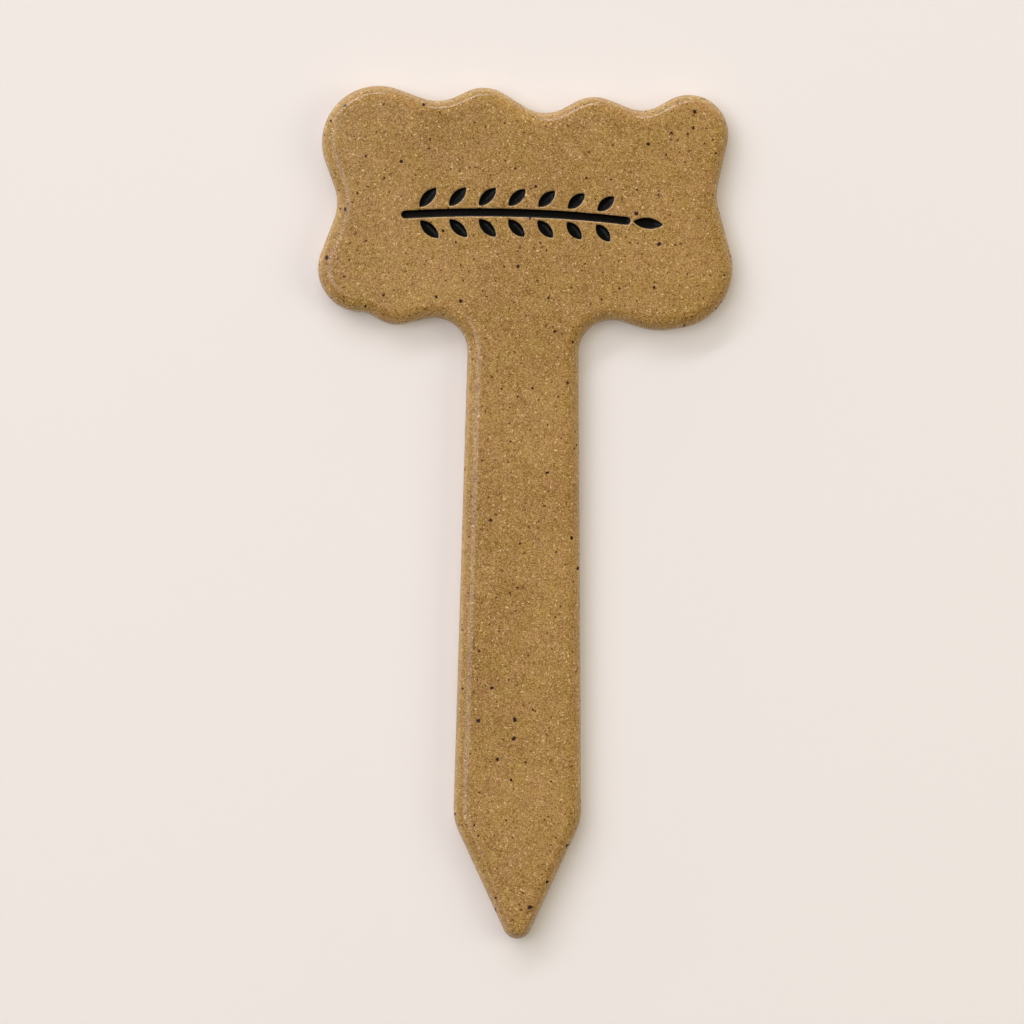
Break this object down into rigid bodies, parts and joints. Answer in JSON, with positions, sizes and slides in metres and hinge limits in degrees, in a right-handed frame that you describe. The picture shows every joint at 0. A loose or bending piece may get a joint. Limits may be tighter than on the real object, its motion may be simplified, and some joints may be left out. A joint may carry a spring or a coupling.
{
  "type": "ceramic garden stake",
  "caption": "Flat glazed stoneware plant marker with a scalloped head, a stamped black sprig and a pointed blade that pushes into soil.",
  "frame": {"origin": "middle of the whole outline, on the flat bare back that it lies on", "axes": "+X to the right across the head, +Y along the stake from the tip to the head, +Z out of the glazed face"},
  "size_m": [0.0682, 0.1399, 0.005],
  "materials": {
    "bare_stoneware": "matte",
    "glazed_stoneware": "gloss",
    "black_glaze": "gloss"
  },
  "bodies": {
    "root": {"clay_body": "bare_stoneware", "clear_glaze": "glazed_stoneware", "stem_inlay": "black_glaze", "tip_leaf_inlay": "black_glaze", "leaf_inlay_1": "black_glaze", "leaf_inlay_2": "black_glaze", "leaf_inlay_3": "black_glaze", "leaf_inlay_4": "black_glaze", "leaf_inlay_5": "black_glaze", "leaf_inlay_6": "black_glaze", "leaf_inlay_7": "black_glaze", "leaf_inlay_8": "black_glaze", "leaf_inlay_9": "black_glaze", "leaf_inlay_10": "black_glaze", "leaf_inlay_11": "black_glaze", "leaf_inlay_12": "black_glaze", "leaf_inlay_13": "black_glaze", "leaf_inlay_14": "black_glaze"}
  },
  "joints": []
}
